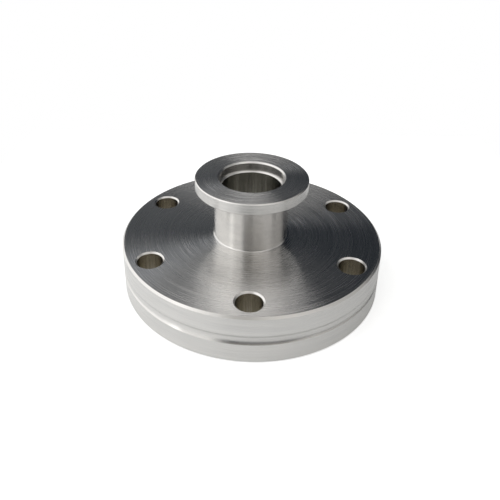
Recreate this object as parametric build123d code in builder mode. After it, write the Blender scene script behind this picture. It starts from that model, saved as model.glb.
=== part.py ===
from build123d import *
import os
from math import isclose, radians, tan

# Flange adapter of stainless steel, one piece turned all over: a bolted knife-edge vacuum
# flange below, a short neck, and a small clamp flange on top, with one bore through all three.
# Millimetres. The bore axis is +Z, and z = 0 is the sealing face, on which the adapter stands.

# Bore and neck
bore_diameter = 16.0
bore_chamfer = 0.4
neck_wall = 2.0
neck_foot_radius = 0.5
face_above_flange = 17.0

# Clamp flange: a flat rim with a cone behind it that the clamp ring pulls on
clamp_collar = 5.0
clamp_rim_height = 3.0
clamp_cone_angle = 15.0
clamp_cone_root_radius = 0.8
clamp_edge_break = 0.25

# Step in the mouth of the clamp flange that a centring ring sits in
centring_step = 0.6
centring_depth = 2.6
centring_chamfer = 0.4

# Knife edge and the recess that the gasket lies in
knife_edge_diameter = 41.9
knife_edge_depth = 0.66
knife_tip_flat = 0.1
knife_flank_angle = 20.0
knife_flank_width = 3.2
inner_face_depth = 1.4

# Bolt holes, with the walls inside and outside them
bolt_count = 6
bolt_hole_diameter = 6.6
bolt_hole_chamfer = 0.4
wall_inside_bolts = 1.9
wall_outside_bolts = 2.3
first_bolt_angle = -90.0

# Rim of the knife-edge flange and the groove round it, an arc in section
flange_thickness = 13.0
flange_edge_chamfer = 0.5
sealing_edge_break = 0.3
rim_groove_width = 2.6
rim_groove_depth = 0.5

# Leak check grooves, from the gasket recess out through the rim
leak_groove_width = 2.0
leak_groove_depth = 1.2

# Radii and heights that follow from the sizes above
bore_radius = bore_diameter / 2
neck_radius = bore_radius + neck_wall
clamp_radius = neck_radius + clamp_collar
centring_radius = bore_radius + centring_step
knife_radius = knife_edge_diameter / 2
recess_radius = knife_radius + knife_flank_width
bolt_radius = bolt_hole_diameter / 2
bolt_circle_radius = recess_radius + wall_inside_bolts + bolt_radius
flange_radius = bolt_circle_radius + bolt_radius + wall_outside_bolts
top = flange_thickness + face_above_flange
clamp_rim_foot = top - clamp_rim_height
clamp_cone_foot = clamp_rim_foot - clamp_collar * tan(radians(clamp_cone_angle))
flank_run = knife_flank_width - knife_tip_flat
recess_depth = knife_edge_depth + flank_run * tan(radians(knife_flank_angle))
groove_arc_radius = (rim_groove_width**2 / 4 + rim_groove_depth**2) / (2 * rim_groove_depth)


def ring_edges(part, radius, height):
    """The circular edges of this radius whose centres are at this height."""
    return part.edges().filter_by(GeomType.CIRCLE).filter_by(
        lambda edge: isclose(edge.radius, radius, abs_tol=0.01)
        and isclose(edge.arc_center.Z, height, abs_tol=0.01)
    )


with BuildPart() as flange_adapter:
    # Turned outline: disc, neck and clamp flange, seen as a half section
    with BuildSketch(Plane.XZ):
        with BuildLine():
            Polyline(
                (0, 0),
                (flange_radius, 0),
                (flange_radius, flange_thickness),
                (neck_radius, flange_thickness),
                (neck_radius, clamp_cone_foot),
                (clamp_radius, clamp_rim_foot),
                (clamp_radius, top),
                (0, top),
                close=True,
            )
        make_face()
    revolve(axis=Axis.Z)

    # Radii where the neck meets the disc and the cone
    fillet(ring_edges(flange_adapter, neck_radius, flange_thickness), neck_foot_radius)
    fillet(ring_edges(flange_adapter, neck_radius, clamp_cone_foot), clamp_cone_root_radius)

    # Broken edges of the disc and of the clamp flange's rim
    chamfer(ring_edges(flange_adapter, flange_radius, flange_thickness), flange_edge_chamfer)
    chamfer(ring_edges(flange_adapter, flange_radius, 0), sealing_edge_break)
    chamfer(ring_edges(flange_adapter, clamp_radius, top), clamp_edge_break)
    chamfer(ring_edges(flange_adapter, clamp_radius, clamp_rim_foot), clamp_edge_break)

    # Groove round the middle of the disc's rim
    with BuildSketch(Plane.XZ):
        with Locations((flange_radius - rim_groove_depth + groove_arc_radius, flange_thickness / 2)):
            Circle(groove_arc_radius)
    revolve(axis=Axis.Z, mode=Mode.SUBTRACT)

    # Gasket seat: the knife edge is what this cut leaves between the recess and the inner face
    with BuildSketch(Plane.XZ):
        with BuildLine():
            Polyline(
                (0, 0),
                (recess_radius, 0),
                (recess_radius, recess_depth),
                (knife_radius + knife_tip_flat, knife_edge_depth),
                (knife_radius, knife_edge_depth),
                (knife_radius, inner_face_depth),
                (0, inner_face_depth),
                close=True,
            )
        make_face()
    revolve(axis=Axis.Z, mode=Mode.SUBTRACT)

    # Through bore, opened out at the top for the centring ring
    with Locations((0, 0, top)):
        CounterBoreHole(bore_radius, centring_radius, centring_depth)
    chamfer(ring_edges(flange_adapter, centring_radius, top), centring_chamfer)
    chamfer(ring_edges(flange_adapter, bore_radius, inner_face_depth), bore_chamfer)

    # Bolt holes through the disc, chamfered at both ends
    with Locations((0, 0, flange_thickness)):
        with PolarLocations(bolt_circle_radius, bolt_count, start_angle=first_bolt_angle):
            Hole(bolt_radius, depth=flange_thickness)
    chamfer(ring_edges(flange_adapter, bolt_radius, flange_thickness), bolt_hole_chamfer)
    chamfer(ring_edges(flange_adapter, bolt_radius, 0), bolt_hole_chamfer)

    # Leak check grooves on opposite sides, each half way between two bolts, round at the bottom
    bolt_pitch = 360 / bolt_count
    for gap in (1, 1 + bolt_count // 2):
        groove_angle = first_bolt_angle + (gap + 0.5) * bolt_pitch
        outwards = Axis.X.direction.rotate(Axis.Z, groove_angle)
        groove_start = recess_radius - leak_groove_width / 4
        with BuildSketch(Plane(origin=outwards * groove_start, x_dir=(0, 0, 1), z_dir=outwards)):
            with Locations((leak_groove_depth - leak_groove_width / 2, 0)):
                Circle(leak_groove_width / 2)
            Rectangle(
                leak_groove_depth - leak_groove_width / 2,
                leak_groove_width,
                align=(Align.MIN, Align.CENTER),
            )
        extrude(amount=flange_radius - groove_start, mode=Mode.SUBTRACT)

flange_adapter.part.label = "flange_adapter"

os.makedirs("parts", exist_ok=True)
export_step(flange_adapter.part, "parts/flange_adapter.step")
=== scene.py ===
import bpy
import math
from mathutils import Matrix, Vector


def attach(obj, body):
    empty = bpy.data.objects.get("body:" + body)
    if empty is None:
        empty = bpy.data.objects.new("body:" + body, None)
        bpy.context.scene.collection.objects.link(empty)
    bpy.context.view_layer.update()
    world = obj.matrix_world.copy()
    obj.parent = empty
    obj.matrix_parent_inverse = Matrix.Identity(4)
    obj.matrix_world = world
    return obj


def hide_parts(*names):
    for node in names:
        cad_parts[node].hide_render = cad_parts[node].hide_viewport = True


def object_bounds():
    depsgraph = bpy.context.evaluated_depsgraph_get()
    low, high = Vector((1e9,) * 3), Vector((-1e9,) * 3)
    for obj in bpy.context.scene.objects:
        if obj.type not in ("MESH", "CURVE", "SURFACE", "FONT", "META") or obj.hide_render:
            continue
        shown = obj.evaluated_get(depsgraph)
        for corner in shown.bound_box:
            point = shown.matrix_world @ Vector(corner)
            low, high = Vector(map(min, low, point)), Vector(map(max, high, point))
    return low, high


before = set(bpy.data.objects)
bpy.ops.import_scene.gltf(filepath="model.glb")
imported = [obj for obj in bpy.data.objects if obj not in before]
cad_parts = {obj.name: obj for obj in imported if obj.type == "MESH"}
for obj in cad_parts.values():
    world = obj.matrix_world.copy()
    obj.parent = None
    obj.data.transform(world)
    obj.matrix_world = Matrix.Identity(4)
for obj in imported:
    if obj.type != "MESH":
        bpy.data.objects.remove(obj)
cad_low, cad_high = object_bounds()

# Turned shape: the thick knife-edge disc with a groove round its rim, the short neck and the
# small clamp flange with its cone. They are one piece of stainless steel, and the lathe turns
# every surface here round the bore axis, outside and inside, the knife edge with them.
mm = 0.001
disc_radius = cad_high.x
top = cad_high.z
disc_top = 13.0 * mm
disc_edge_chamfer = 0.5 * mm
sealing_edge_break = 0.3 * mm
rim_groove_width = 2.6 * mm
rim_groove_depth = 0.5 * mm

bore_radius = 8.0 * mm
bore_chamfer = 0.4 * mm
neck_radius = bore_radius + 2.0 * mm
neck_foot_radius = 0.5 * mm

clamp_radius = neck_radius + 5.0 * mm
clamp_edge_break = 0.25 * mm
clamp_rim_foot = top - 3.0 * mm
clamp_cone_slope = math.tan(math.radians(15.0))
clamp_cone_root_radius = 0.8 * mm
centring_radius = bore_radius + 0.6 * mm
centring_floor = top - 2.6 * mm
centring_chamfer = 0.4 * mm
mouth_edge_break = 0.3 * mm

knife_radius = 41.9 / 2 * mm
knife_tip_height = 0.66 * mm
knife_tip_flat = 0.1 * mm
knife_flank_slope = math.tan(math.radians(20.0))
recess_radius = knife_radius + 3.2 * mm
inner_face_height = 1.4 * mm

turned_segments = 360
arc_steps = 10


def arc(centre_r, centre_z, radius, start, end):
    """Points on an arc of the half section, between two directions given in degrees."""
    points = []
    for step in range(arc_steps + 1):
        bearing = math.radians(start + (end - start) * step / arc_steps)
        across, up = radius * math.cos(bearing), radius * math.sin(bearing)
        points.append((centre_r + across, centre_z + up))
    return points


def rim_groove():
    """The groove's arc, from its lower edge to its upper edge."""
    half_width = rim_groove_width / 2
    radius = (half_width**2 + rim_groove_depth**2) / (2 * rim_groove_depth)
    swing = math.degrees(math.asin(half_width / radius))
    centre_r = disc_radius - rim_groove_depth + radius
    return arc(centre_r, disc_top / 2, radius, 180 + swing, 180 - swing)


def neck_foot():
    """The small radius that the tool leaves where the neck stands on the disc."""
    radius = neck_foot_radius
    return arc(neck_radius + radius, disc_top + radius, radius, 270, 180)


def cone_root():
    """The arc that runs from the neck into the cone behind the clamp rim."""
    radius = clamp_cone_root_radius
    cone_foot = clamp_rim_foot - (clamp_radius - neck_radius) * clamp_cone_slope
    cone_angle = math.degrees(math.atan(clamp_cone_slope))
    tangent_length = radius * math.tan(math.radians((90 - cone_angle) / 2))
    return arc(neck_radius + radius, cone_foot - tangent_length, radius, 180, 90 + cone_angle)


def half_section():
    """The closed half section of the whole piece as (radius, height) points."""
    flank_run = recess_radius - knife_radius - knife_tip_flat
    recess_depth = knife_tip_height + flank_run * knife_flank_slope
    return [
        (bore_radius, inner_face_height + bore_chamfer),
        (bore_radius + bore_chamfer, inner_face_height),
        (knife_radius, inner_face_height),
        (knife_radius, knife_tip_height),
        (knife_radius + knife_tip_flat, knife_tip_height),
        (recess_radius, recess_depth),
        (recess_radius, 0),
        (disc_radius - sealing_edge_break, 0),
        (disc_radius, sealing_edge_break),
        *rim_groove(),
        (disc_radius, disc_top - disc_edge_chamfer),
        (disc_radius - disc_edge_chamfer, disc_top),
        *neck_foot(),
        *cone_root(),
        (clamp_radius - clamp_edge_break, clamp_rim_foot - clamp_edge_break * clamp_cone_slope),
        (clamp_radius, clamp_rim_foot + clamp_edge_break),
        (clamp_radius, top - clamp_edge_break),
        (clamp_radius - clamp_edge_break, top),
        (centring_radius + centring_chamfer, top),
        (centring_radius, top - centring_chamfer),
        (centring_radius, centring_floor),
        (bore_radius + mouth_edge_break, centring_floor),
        (bore_radius, centring_floor - mouth_edge_break),
    ]


def section_wire(name, points):
    """A wire of the half section, its radii counted from the bore wall, as the lathe takes it."""
    wire = bpy.data.meshes.new(name)
    corners = [(radius - bore_radius, -height, 0) for radius, height in reversed(points)]
    wire.from_pydata(corners, [(i, (i + 1) % len(corners)) for i in range(len(corners))], [])
    return wire


def node_tree(name, kind, inputs, outputs):
    """A node tree or group; gives the tree, the sockets of its inputs and those of its outputs."""
    tree = bpy.data.node_groups.new(name, kind)
    for label, (socket_kind, value) in inputs.items():
        socket = tree.interface.new_socket(
            label, in_out="INPUT", socket_type="NodeSocket" + socket_kind
        )
        if value is not None:
            socket.default_value = value
    for label, socket_kind in outputs.items():
        tree.interface.new_socket(label, in_out="OUTPUT", socket_type="NodeSocket" + socket_kind)
    return tree, tree.nodes.new("NodeGroupInput").outputs, tree.nodes.new("NodeGroupOutput").inputs


def add_node(tree, kind, inputs=None, **settings):
    """A node with its settings and inputs; an input is a value or the socket that feeds it."""
    node = tree.nodes.new(kind)
    for label, value in settings.items():
        setattr(node, label, value)
    for label, value in (inputs or {}).items():
        if isinstance(value, bpy.types.NodeSocket):
            tree.links.new(value, node.inputs[label])
        else:
            node.inputs[label].default_value = value
    return node


lathe, lathe_in, lathe_out = node_tree(
    "lathe",
    "GeometryNodeTree",
    {"Section": ("Geometry", None), "Bore Radius": ("Float", 0.0), "Segments": ("Int", 64)},
    {"Blank": "Geometry"},
)
section = add_node(lathe, "GeometryNodeMeshToCurve", {"Mesh": lathe_in["Section"]})
bore_circle = add_node(
    lathe,
    "GeometryNodeCurvePrimitiveCircle",
    {"Resolution": lathe_in["Segments"], "Radius": lathe_in["Bore Radius"]},
)
turning = add_node(
    lathe,
    "GeometryNodeCurveToMesh",
    {"Curve": bore_circle.outputs["Curve"], "Profile Curve": section.outputs["Curve"]},
)
lathe.links.new(turning.outputs["Mesh"], lathe_out["Blank"])

# Bolt holes: six clearance holes on one bolt circle, drilled right through the disc and
# chamfered lightly at both ends to take off the burr.
bolt_count = 6
bolt_hole_radius = 6.6 / 2 * mm
bolt_hole_chamfer = 0.4 * mm
bolt_circle_radius = recess_radius + 1.9 * mm + bolt_hole_radius
first_bolt_angle = math.radians(-90.0)
hole_segments = 48


def math_node(tree, operation, *values):
    """The result of a math node on these values or sockets."""
    return add_node(tree, "ShaderNodeMath", dict(enumerate(values)), operation=operation).outputs[0]


def point(tree, radius, height):
    """A point straight out from the bore axis along X."""
    return add_node(tree, "ShaderNodeCombineXYZ", {"X": radius, "Z": height}).outputs[0]


polar_array, array_in, array_out = node_tree(
    "polar_array",
    "GeometryNodeTree",
    {"Cutter": ("Geometry", None), "Count": ("Int", 1), "First Angle": ("Float", 0.0)},
    {"Cutters": "Geometry"},
)
pitch = math_node(polar_array, "DIVIDE", math.tau, array_in["Count"])
station_number = add_node(polar_array, "GeometryNodeInputIndex").outputs["Index"]
station_angle = math_node(
    polar_array, "MULTIPLY_ADD", station_number, pitch, array_in["First Angle"]
)
station_turn = add_node(polar_array, "ShaderNodeCombineXYZ", {"Z": station_angle}).outputs[0]
stations = add_node(polar_array, "GeometryNodePoints", {"Count": array_in["Count"]})
cutters = add_node(
    polar_array,
    "GeometryNodeInstanceOnPoints",
    {
        "Points": stations.outputs[0],
        "Instance": array_in["Cutter"],
        "Rotation": station_turn,
    },
)
polar_array.links.new(cutters.outputs[0], array_out["Cutters"])

drill, drill_in, drill_out = node_tree(
    "drill",
    "GeometryNodeTree",
    {
        "Hole Radius": ("Float", 0.0),
        "Chamfer": ("Float", 0.0),
        "Thickness": ("Float", 0.0),
        "Circle Radius": ("Float", 0.0),
        "Segments": ("Int", 32),
    },
    {"Cutter": "Geometry"},
)
below = math_node(drill, "MULTIPLY", drill_in["Chamfer"], -1.0)
lip = math_node(drill, "SUBTRACT", drill_in["Thickness"], drill_in["Chamfer"])
beyond = math_node(drill, "ADD", drill_in["Thickness"], drill_in["Chamfer"])
loop = add_node(
    drill,
    "GeometryNodeCurvePrimitiveQuadrilateral",
    {
        "Point 1": point(drill, drill_in["Circle Radius"], below),
        "Point 2": point(drill, drill_in["Circle Radius"], drill_in["Chamfer"]),
        "Point 3": point(drill, drill_in["Circle Radius"], lip),
        "Point 4": point(drill, drill_in["Circle Radius"], beyond),
    },
    mode="POINTS",
)
axis = add_node(
    drill, "GeometryNodeSetSplineCyclic", {"Geometry": loop.outputs[0], "Cyclic": False}
)
circle = add_node(
    drill,
    "GeometryNodeCurvePrimitiveCircle",
    {"Resolution": drill_in["Segments"], "Radius": 1.0},
)
# The bit's ends are a chamfer's depth past the faces, so a flare of two depths cuts 45 degrees.
flare_depths = 2.0
at_end = add_node(drill, "GeometryNodeCurveEndpointSelection").outputs[0]
flare = math_node(drill, "MULTIPLY", at_end, drill_in["Chamfer"])
drill_bit = add_node(
    drill,
    "GeometryNodeCurveToMesh",
    {
        "Curve": axis.outputs[0],
        "Profile Curve": circle.outputs["Curve"],
        "Scale": math_node(drill, "MULTIPLY_ADD", flare, flare_depths, drill_in["Hole Radius"]),
        "Fill Caps": True,
    },
)
drill.links.new(drill_bit.outputs["Mesh"], drill_out["Cutter"])

# Leak check grooves: two grooves with a round bottom, milled across the sealing side from
# the gasket recess out through the rim, so that a leak can be sought from outside.
leak_groove_count = 2
leak_groove_width = 2.0 * mm
leak_groove_depth = 1.2 * mm
leak_groove_round = 0.499  # of the width: a whole half would leave two points in one place
leak_groove_start = recess_radius - leak_groove_width / 4
first_leak_groove_angle = first_bolt_angle + 1.5 * math.tau / bolt_count

mill, mill_in, mill_out = node_tree(
    "mill",
    "GeometryNodeTree",
    {
        "Width": ("Float", 0.0),
        "Depth": ("Float", 0.0),
        "Start": ("Float", 0.0),
        "Rim": ("Float", 0.0),
        "Corner Steps": ("Int", 12),
    },
    {"Cutter": "Geometry"},
)
past_rim = math_node(mill, "ADD", mill_in["Rim"], mill_in["Width"])
path = add_node(
    mill,
    "GeometryNodeCurvePrimitiveLine",
    {"Start": point(mill, mill_in["Start"], 0.0), "End": point(mill, past_rim, 0.0)},
)
# The slot is centred on the sealing face, so it is twice as high as the groove is deep.
slot = add_node(
    mill,
    "GeometryNodeCurvePrimitiveQuadrilateral",
    {"Width": math_node(mill, "MULTIPLY", mill_in["Depth"], 2.0), "Height": mill_in["Width"]},
    mode="RECTANGLE",
)
round_slot = add_node(
    mill,
    "GeometryNodeFilletCurve",
    {
        "Curve": slot.outputs[0],
        "Count": mill_in["Corner Steps"],
        "Radius": math_node(mill, "MULTIPLY", mill_in["Width"], leak_groove_round),
    },
    mode="POLY",
)
slot_cutter = add_node(
    mill,
    "GeometryNodeCurveToMesh",
    {"Curve": path.outputs[0], "Profile Curve": round_slot.outputs[0], "Fill Caps": True},
)
mill.links.new(slot_cutter.outputs["Mesh"], mill_out["Cutter"])

# Finish of the steel: bright metal as it leaves the lathe and the drill, clean and not
# polished. Fine tool marks run round the axis that each surface was cut on, and the faces
# mirror the room in a smear across those marks. Broad bands of two tones go with the marks;
# on the bore and bolt hole walls their bright and dark streaks are painted reflection.
tool_marks, marks_in, marks_out = node_tree(
    "tool_marks",
    "ShaderNodeTree",
    {
        "Across": ("Float", 0.0),
        "Around": ("Vector", None),
        "Mark Spacing": ("Float", 0.14 * mm),
        "Mark Wander": ("Float", 1.5),
        "Mark Depth": ("Float", 0.004 * mm),
        "Band Spacing": ("Float", 1.2 * mm),
        "Band Wander": ("Float", 1.5),
    },
    {"Height": "Float", "Rough Marks": "Float", "Tone And Painted Streak Bands": "Float"},
)


def streaks(spacing, wander, detail):
    """Noise that changes fast across the tool marks and slowly along them."""
    along = add_node(
        tool_marks,
        "ShaderNodeVectorMath",
        {0: marks_in["Around"], "Scale": wander},
        operation="SCALE",
    )
    along_parts = add_node(tool_marks, "ShaderNodeSeparateXYZ", {0: along.outputs[0]})
    place = add_node(
        tool_marks,
        "ShaderNodeCombineXYZ",
        {
            "X": math_node(tool_marks, "DIVIDE", marks_in["Across"], spacing),
            "Y": along_parts.outputs["X"],
            "Z": along_parts.outputs["Y"],
        },
    )
    return add_node(
        tool_marks,
        "ShaderNodeTexNoise",
        {"Vector": place.outputs[0], "Scale": 1.0, "Detail": detail},
    ).outputs[0]


marks = streaks(marks_in["Mark Spacing"], marks_in["Mark Wander"], detail=1.0)
bands = streaks(marks_in["Band Spacing"], marks_in["Band Wander"], detail=4.0)
mark_height = math_node(tool_marks, "MULTIPLY", marks, marks_in["Mark Depth"])
tool_marks.links.new(mark_height, marks_out["Height"])
tool_marks.links.new(marks, marks_out["Rough Marks"])
tool_marks.links.new(bands, marks_out["Tone And Painted Streak Bands"])


def vector_node(tree, operation, *values):
    """A vector math node on these values or sockets."""
    return add_node(tree, "ShaderNodeVectorMath", dict(enumerate(values)), operation=operation)


noise_low, noise_high = 0.3, 0.7  # most of the noise lies between these
closer_up_walls = 1.6
quarter_turn = 0.25


def noise_range(tree, noise, low=0.0, high=1.0):
    """The noise's usual range spread from low to high, and held there."""
    inputs = {
        "Value": noise,
        "From Min": noise_low,
        "From Max": noise_high,
        "To Min": low,
        "To Max": high,
    }
    return add_node(tree, "ShaderNodeMapRange", inputs).outputs[0]


def cut_steel(name, tones, smooth, rough, axis="bore", brushed=1.0, mark_sizes=None):
    """Steel cut round an axis: two tones by bands, painted reflection streaks in bores, smooth and
    rough by marks.
    """
    material = bpy.data.materials.new(name)
    material.use_nodes = True
    tree = material.node_tree
    shader = tree.nodes["Principled BSDF"]
    place = add_node(tree, "ShaderNodeTexCoord")
    height = add_node(tree, "ShaderNodeSeparateXYZ", {0: place.outputs["Object"]}).outputs["Z"]
    outward = place.outputs["Object" if axis == "bore" else "Normal"]
    level = vector_node(tree, "MULTIPLY", outward, (1, 1, 0)).outputs[0]
    around = vector_node(tree, "NORMALIZE", level).outputs[0]
    across = height
    if axis == "bore":
        radius = vector_node(tree, "LENGTH", level).outputs["Value"]
        across = math_node(tree, "MULTIPLY_ADD", height, closer_up_walls, radius)
    cut = add_node(
        tree,
        "ShaderNodeGroup",
        {"Across": across, "Around": around, **(mark_sizes or {})},
        node_tree=tool_marks,
    )
    roughness = noise_range(tree, cut.outputs["Rough Marks"], smooth, rough)
    # Which tone shows: outside, bands of the steel's own tone; in the bore and the bolt holes,
    # painted reflection streaks.
    painted_streak_share = noise_range(tree, cut.outputs["Tone And Painted Streak Bands"])
    bright_tone_and_painted_streak, dark_tone_and_painted_streak = tones
    colour = add_node(
        tree,
        "ShaderNodeMix",
        {"Factor": painted_streak_share, 6: (*bright_tone_and_painted_streak, 1.0), 7: (*dark_tone_and_painted_streak, 1.0)},
        data_type="RGBA",
    )
    bump = add_node(tree, "ShaderNodeBump", {"Distance": 1.0, "Height": cut.outputs["Height"]})
    brushing = vector_node(tree, "CROSS_PRODUCT", (0, 0, 1), around)
    tree.links.new(colour.outputs[2], shader.inputs["Base Color"])
    tree.links.new(roughness, shader.inputs["Roughness"])
    tree.links.new(bump.outputs[0], shader.inputs["Normal"])
    tree.links.new(brushing.outputs[0], shader.inputs["Tangent"])
    shader.inputs["Metallic"].default_value = 1.0
    shader.inputs["Anisotropic"].default_value = brushed
    shader.inputs["Anisotropic Rotation"].default_value = quarter_turn
    return material


outside_tones = ((0.76, 0.75, 0.735), (0.68, 0.675, 0.665))
# Painted reflection: the bore's and the bolt holes' two tones paint bright and dark streaks down
# their walls, as the room's reflection draws them.
bore_painted_streak_tones = ((0.84, 0.83, 0.78), (0.36, 0.35, 0.32))
hole_painted_streak_tones = ((0.80, 0.77, 0.69), (0.50, 0.46, 0.38))
faced_steel = cut_steel("faced_steel", outside_tones, smooth=0.19, rough=0.29)
turned_steel = cut_steel("turned_steel", outside_tones, smooth=0.18, rough=0.26)
broken_edge_steel = cut_steel(
    "broken_edge_steel", outside_tones, smooth=0.30, rough=0.36, brushed=0.6
)
bored_steel = cut_steel(
    "bored_steel",
    bore_painted_streak_tones,
    smooth=0.15,
    rough=0.18,
    mark_sizes={"Band Spacing": 60 * mm, "Band Wander": 7.0},
)
drilled_steel = cut_steel(
    "drilled_steel",
    hole_painted_streak_tones,
    smooth=0.16,
    rough=0.20,
    axis="hole",
    mark_sizes={"Band Spacing": 40 * mm, "Band Wander": 5.0},
)

# Machining: the blank leaves the lathe, then the holes and grooves are cut out of it, and it
# stays one solid. Each surface gets the finish of the tool that cut it; the broken edges and
# the small step in the mouth are the dullest.
flat_from = 0.9  # of 1, which is a level face
level_from = 0.999
broken_edge_slope = math.cos(math.radians(45.0))
slope_slack = 0.02
bore_slack = 1.01
crease_angle = math.radians(30.0)
machining_sizes = {
    "Turned Segments": turned_segments,
    "Bore Radius": bore_radius,
    "Centring Radius": centring_radius,
    "Disc Radius": disc_radius,
    "Disc Thickness": disc_top,
    "Bolt Count": bolt_count,
    "First Bolt Angle": first_bolt_angle,
    "Bolt Circle Radius": bolt_circle_radius,
    "Bolt Hole Radius": bolt_hole_radius,
    "Bolt Hole Chamfer": bolt_hole_chamfer,
    "Bolt Hole Segments": hole_segments,
    "Leak Groove Count": leak_groove_count,
    "First Leak Groove Angle": first_leak_groove_angle,
    "Leak Groove Start": leak_groove_start,
    "Leak Groove Width": leak_groove_width,
    "Leak Groove Depth": leak_groove_depth,
}
size_sockets = {
    label: ("Int" if isinstance(size, int) else "Float", None)
    for label, size in machining_sizes.items()
}
machining, machining_in, machining_out = node_tree(
    "machining",
    "GeometryNodeTree",
    {"Section": ("Geometry", None), **size_sockets},
    {"Adapter": "Geometry"},
)


def use_group(group, inputs):
    """What a node group makes of these inputs; a name stands for an input of the machining."""
    wired = {
        label: machining_in[value] if isinstance(value, str) else value
        for label, value in inputs.items()
    }
    return add_node(machining, "GeometryNodeGroup", wired, node_tree=group).outputs[0]


turned_blank = use_group(
    lathe,
    {"Section": "Section", "Bore Radius": "Bore Radius", "Segments": "Turned Segments"},
)
hole_cutter = use_group(
    drill,
    {
        "Hole Radius": "Bolt Hole Radius",
        "Chamfer": "Bolt Hole Chamfer",
        "Thickness": "Disc Thickness",
        "Circle Radius": "Bolt Circle Radius",
        "Segments": "Bolt Hole Segments",
    },
)
groove_cutter = use_group(
    mill,
    {
        "Width": "Leak Groove Width",
        "Depth": "Leak Groove Depth",
        "Start": "Leak Groove Start",
        "Rim": "Disc Radius",
    },
)
hole_cutters = use_group(
    polar_array,
    {"Cutter": hole_cutter, "Count": "Bolt Count", "First Angle": "First Bolt Angle"},
)
groove_cutters = use_group(
    polar_array,
    {
        "Cutter": groove_cutter,
        "Count": "Leak Groove Count",
        "First Angle": "First Leak Groove Angle",
    },
)
cutting = add_node(
    machining,
    "GeometryNodeMeshBoolean",
    {"Mesh 1": turned_blank},
    operation="DIFFERENCE",
    solver="MANIFOLD",
)
for cutter_set in (hole_cutters, groove_cutters):
    real_cutters = add_node(machining, "GeometryNodeRealizeInstances", {0: cutter_set})
    marked_cutters = add_node(
        machining,
        "GeometryNodeStoreNamedAttribute",
        {"Geometry": real_cutters.outputs[0], "Name": "drilled", "Value": True},
        data_type="BOOLEAN",
        domain="FACE",
    )
    machining.links.new(marked_cutters.outputs[0], cutting.inputs["Mesh 2"])
adapter_shape = add_node(machining, "GeometryNodeRealizeInstances", {0: cutting.outputs["Mesh"]})

face_place = add_node(machining, "GeometryNodeInputPosition").outputs[0]
facing = add_node(machining, "GeometryNodeInputNormal").outputs["Normal"]
upward = add_node(machining, "ShaderNodeSeparateXYZ", {0: facing}).outputs["Z"]
flatness = math_node(machining, "ABSOLUTE", upward)
level_place = vector_node(machining, "MULTIPLY", face_place, (1, 1, 0)).outputs[0]
from_axis = vector_node(machining, "LENGTH", level_place).outputs["Value"]
outwardness = vector_node(machining, "DOT_PRODUCT", level_place, facing).outputs["Value"]

faces_inward = math_node(machining, "LESS_THAN", outwardness, 0.0)
near_bore = math_node(machining, "MULTIPLY", machining_in["Bore Radius"], bore_slack)
at_bore = math_node(machining, "LESS_THAN", from_axis, near_bore)
is_bore = math_node(machining, "MULTIPLY", faces_inward, at_bore)
is_flat = math_node(machining, "GREATER_THAN", flatness, flat_from)
is_chamfer = math_node(machining, "COMPARE", flatness, broken_edge_slope, slope_slack)
in_mouth = math_node(machining, "LESS_THAN", from_axis, machining_in["Centring Radius"])
is_mouth_step = math_node(machining, "MULTIPLY", in_mouth, is_flat)
is_broken_edge = math_node(machining, "MAXIMUM", is_chamfer, is_mouth_step)
is_drilled = add_node(
    machining, "GeometryNodeInputNamedAttribute", {"Name": "drilled"}, data_type="BOOLEAN"
).outputs[0]

finished = adapter_shape.outputs[0]
for faces, steel in (
    (True, turned_steel),
    (is_bore, bored_steel),
    (is_flat, faced_steel),
    (is_drilled, drilled_steel),
    (is_broken_edge, broken_edge_steel),
):
    finished = add_node(
        machining,
        "GeometryNodeSetMaterial",
        {"Geometry": finished, "Selection": faces, "Material": steel},
    ).outputs[0]
machining.links.new(finished, machining_out["Adapter"])

workpiece = bpy.data.objects.new("workpiece", section_wire("half_section", half_section()))
bpy.context.scene.collection.objects.link(workpiece)
modifier = workpiece.modifiers.new("machining", "NODES")
modifier.node_group = machining
for socket in machining.interface.items_tree:
    if socket.name in machining_sizes:
        modifier[socket.identifier] = machining_sizes[socket.name]
evaluated = workpiece.evaluated_get(bpy.context.evaluated_depsgraph_get())
adapter_mesh = bpy.data.meshes.new_from_object(evaluated)
workpiece.modifiers.remove(modifier)
bpy.data.objects.remove(workpiece)

adapter_mesh.name = "adapter"
adapter_mesh.materials.pop(index=0)  # the wire's own empty slot
for face in adapter_mesh.polygons:
    face.use_smooth = abs(face.normal.z) < level_from
adapter_mesh.set_sharp_from_angle(angle=crease_angle)
adapter = bpy.data.objects.new("adapter", adapter_mesh)
bpy.context.scene.collection.objects.link(adapter)
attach(adapter, "root")
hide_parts("flange_adapter")

# Camera: it stands close in front of the part and looks down at it at the photograph's
# angle. The lens is shifted a little, to set the part in the frame.
camera_distance = 129.12 * mm
camera_height = 96.4 * mm
camera_pitch = 0.4425
camera_yaw = 0.052
camera_roll = -0.0023
film_width = 36.0
lens_length = 39.744
lens_shift_across = 0.0476
lens_shift_up = -0.184
nearest_seen = 10 * mm

camera_data = bpy.data.cameras.new("camera")
camera_data.sensor_width = film_width
camera_data.lens = lens_length
camera_data.shift_x = lens_shift_across
camera_data.shift_y = lens_shift_up
camera_data.clip_start = nearest_seen
camera = bpy.data.objects.new("camera", camera_data)
bpy.context.scene.collection.objects.link(camera)
camera.matrix_world = (
    Matrix.Translation((0, -camera_distance, camera_height))
    @ Matrix.Rotation(camera_yaw, 4, "Z")
    @ Matrix.Rotation(math.pi / 2 - camera_pitch, 4, "X")
    @ Matrix.Rotation(camera_roll, 4, "Z")
)
bpy.context.scene.camera = camera

# Paper: a small sheet of white paper that the part stands on. The camera sees it as white
# with the part's faint shadow. In the steel's reflections it has painted light, a glow that is
# brighter on the side of the tall light.
paper_reach = 100 * mm
paper_gap = 0.05 * mm
paper_colour = (0.855, 0.87, 0.875)
paper_glow = 0.56
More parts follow.
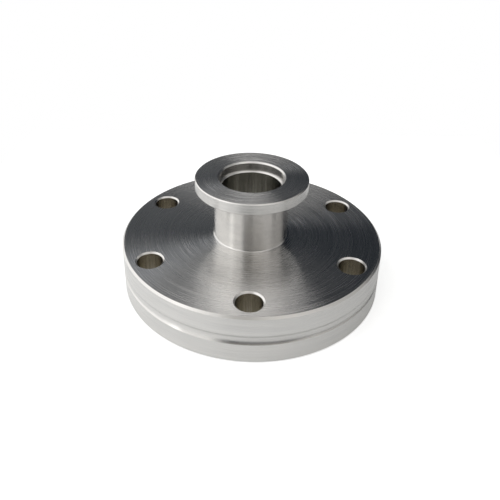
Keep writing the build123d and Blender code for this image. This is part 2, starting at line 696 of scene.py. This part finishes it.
# Painted light: a glow seen only in reflections, strongest towards the tall light and fading away
# from it, stands in for that light's pool on the paper.
painted_light_near = 0.27
painted_light_far = 0.04
painted_light_reach = 60.0 * mm
from_tall_light = (0.94, -0.34, 0.0)

sheet_corners = [(-1, -1), (1, -1), (1, 1), (-1, 1)]
paper_mesh = bpy.data.meshes.new("paper")
paper_mesh.from_pydata(
    [(x * paper_reach, y * paper_reach, -paper_gap) for x, y in sheet_corners], [], [(0, 1, 2, 3)]
)
paper_sheet = bpy.data.objects.new("paper", paper_mesh)
bpy.context.scene.collection.objects.link(paper_sheet)
white_paper = bpy.data.materials.new("white_paper")
white_paper.use_nodes = True
paper = white_paper.node_tree
paper.nodes.clear()
rays = add_node(paper, "ShaderNodeLightPath").outputs
mirrored = math_node(paper, "MAXIMUM", rays["Is Glossy Ray"], rays["Is Transmission Ray"])
paper_place = add_node(paper, "ShaderNodeTexCoord").outputs["Object"]
away = vector_node(paper, "DOT_PRODUCT", paper_place, from_tall_light).outputs["Value"]
painted_paper_light = add_node(
    paper,
    "ShaderNodeMapRange",
    {
        "Value": away,
        "From Min": -painted_light_reach,
        "From Max": painted_light_reach,
        "To Min": painted_light_near,
        "To Max": painted_light_far,
    },
)
# The painted light shows only in reflections; the camera sees the even white glow.
painted_light_in_reflections = math_node(paper, "MULTIPLY", mirrored, painted_paper_light.outputs[0])
glow_strength = math_node(paper, "MULTIPLY_ADD", rays["Is Camera Ray"], paper_glow, painted_light_in_reflections)
matt = add_node(paper, "ShaderNodeBsdfDiffuse", {"Color": (*paper_colour, 1.0)})
glow = add_node(
    paper, "ShaderNodeEmission", {"Color": (1.0, 1.0, 1.0, 1.0), "Strength": glow_strength}
)
front = add_node(paper, "ShaderNodeAddShader", {0: matt.outputs[0], 1: glow.outputs[0]})
seen_from_below = add_node(paper, "ShaderNodeNewGeometry").outputs["Backfacing"]
clear = add_node(paper, "ShaderNodeBsdfTransparent")
paper_surface = add_node(
    paper, "ShaderNodeMixShader", {0: seen_from_below, 1: front.outputs[0], 2: clear.outputs[0]}
)
add_node(paper, "ShaderNodeOutputMaterial", {"Surface": paper_surface.outputs[0]})
paper_mesh.materials.append(white_paper)

# Studio light: soft panels round the part in a dark room, a tall one at the left, a ring of
# them overhead that is brightest behind the part, and weaker ones at the right, in front and
# behind. Seen directly, or through a clear thing, the room is plain white.
soft_panel, panel_in, panel_out = node_tree(
    "soft_panel",
    "ShaderNodeTree",
    {
        "Direction": ("Vector", None),
        "Heading": ("Float", 0.0),
        "Half Width": ("Float", 60.0),
        "Foot": ("Float", 0.0),
        "Head": ("Float", 60.0),
        "Feather": ("Float", 10.0),
    },
    {"Mask": "Float"},
)


def soft_edge(distance):
    """One inside an edge and nought outside it, with a feathered step between."""
    inputs = {
        "Value": distance,
        "From Min": math_node(soft_panel, "MULTIPLY", panel_in["Feather"], -0.5),
        "From Max": math_node(soft_panel, "MULTIPLY", panel_in["Feather"], 0.5),
    }
    edge = add_node(soft_panel, "ShaderNodeMapRange", inputs, interpolation_type="SMOOTHSTEP")
    return edge.outputs[0]


direction = add_node(soft_panel, "ShaderNodeSeparateXYZ", {0: panel_in["Direction"]}).outputs
azimuth = math_node(
    soft_panel, "DEGREES", math_node(soft_panel, "ARCTAN2", direction["Y"], direction["X"])
)
elevation = math_node(soft_panel, "DEGREES", math_node(soft_panel, "ARCSINE", direction["Z"]))
half_turn = 180.0
turn = math_node(soft_panel, "SUBTRACT", azimuth, panel_in["Heading"])
shortest_turn = math_node(soft_panel, "WRAP", turn, half_turn, -half_turn)
aside = math_node(soft_panel, "ABSOLUTE", shortest_turn)
between_sides = soft_edge(math_node(soft_panel, "SUBTRACT", panel_in["Half Width"], aside))
above_foot = soft_edge(math_node(soft_panel, "SUBTRACT", elevation, panel_in["Foot"]))
below_head = soft_edge(math_node(soft_panel, "SUBTRACT", panel_in["Head"], elevation))
upright = math_node(soft_panel, "MULTIPLY", above_foot, below_head)
soft_panel.links.new(math_node(soft_panel, "MULTIPLY", between_sides, upright), panel_out["Mask"])

all_round = 200.0
over_top = 200.0
panels = {
    # heading, half width, foot, head, feather, light
    "tall at the left": (172.0, 43.0, -10.0, 62.0, 8.0, (1.30, 1.28, 1.25)),
    "its side towards the front": (229.0, 18.0, -10.0, 62.0, 22.0, (1.02, 1.00, 0.97)),
    "front of the ring": (270.0, 115.0, 60.0, 78.0, 8.0, (1.20, 1.18, 1.16)),
    "back of the ring": (90.0, 65.0, 60.0, 78.0, 8.0, (0.40, 0.39, 0.38)),
    "bright stretch of the ring": (91.0, 19.0, 49.0, 78.0, 6.0, (1.15, 1.13, 1.11)),
    "inside the ring": (0.0, all_round, 78.0, over_top, 8.0, (0.82, 0.81, 0.80)),
    "soft at the right": (345.0, 36.0, 8.0, 46.0, 26.0, (0.62, 0.60, 0.57)),
    "high at the right": (312.0, 32.0, 40.0, 62.0, 12.0, (0.60, 0.58, 0.56)),
    "front": (282.0, 30.0, 22.0, 60.0, 12.0, (0.36, 0.34, 0.305)),
    "low at the back": (105.0, 28.0, 4.0, 22.0, 10.0, (0.22, 0.22, 0.215)),
    "dim at the back": (110.0, 22.0, 4.0, 60.0, 12.0, (0.058, 0.060, 0.061)),
    "small at the back": (120.0, 9.0, 35.0, 46.0, 6.0, (0.44, 0.47, 0.52)),
}
room_light = (0.016, 0.02, 0.026)

studio = bpy.data.worlds.new("studio")
bpy.context.scene.world = studio
studio.use_nodes = True
room = studio.node_tree
room.nodes.clear()
toward = add_node(room, "ShaderNodeTexCoord").outputs["Generated"]
light = room_light
for panel_name, (heading, half_width, foot, head, feather, panel_light) in panels.items():
    panel = add_node(
        room,
        "ShaderNodeGroup",
        {
            "Direction": toward,
            "Heading": heading,
            "Half Width": half_width,
            "Foot": foot,
            "Head": head,
            "Feather": feather,
        },
        node_tree=soft_panel,
        label=panel_name,
    )
    light = vector_node(room, "MULTIPLY_ADD", panel.outputs[0], panel_light, light).outputs[0]
lights = add_node(room, "ShaderNodeBackground", {"Color": light, "Strength": 1.0})
white = add_node(room, "ShaderNodeBackground", {"Color": (1.0, 1.0, 1.0, 1.0), "Strength": 1.0})
room_rays = add_node(room, "ShaderNodeLightPath").outputs
seen_direct = math_node(
    room, "MAXIMUM", room_rays["Is Camera Ray"], room_rays["Is Transmission Ray"]
)
seen = add_node(
    room, "ShaderNodeMixShader", {0: seen_direct, 1: lights.outputs[0], 2: white.outputs[0]}
)
add_node(room, "ShaderNodeOutputWorld", {"Surface": seen.outputs[0]})
bpy.context.scene.view_settings.view_transform = "Standard"
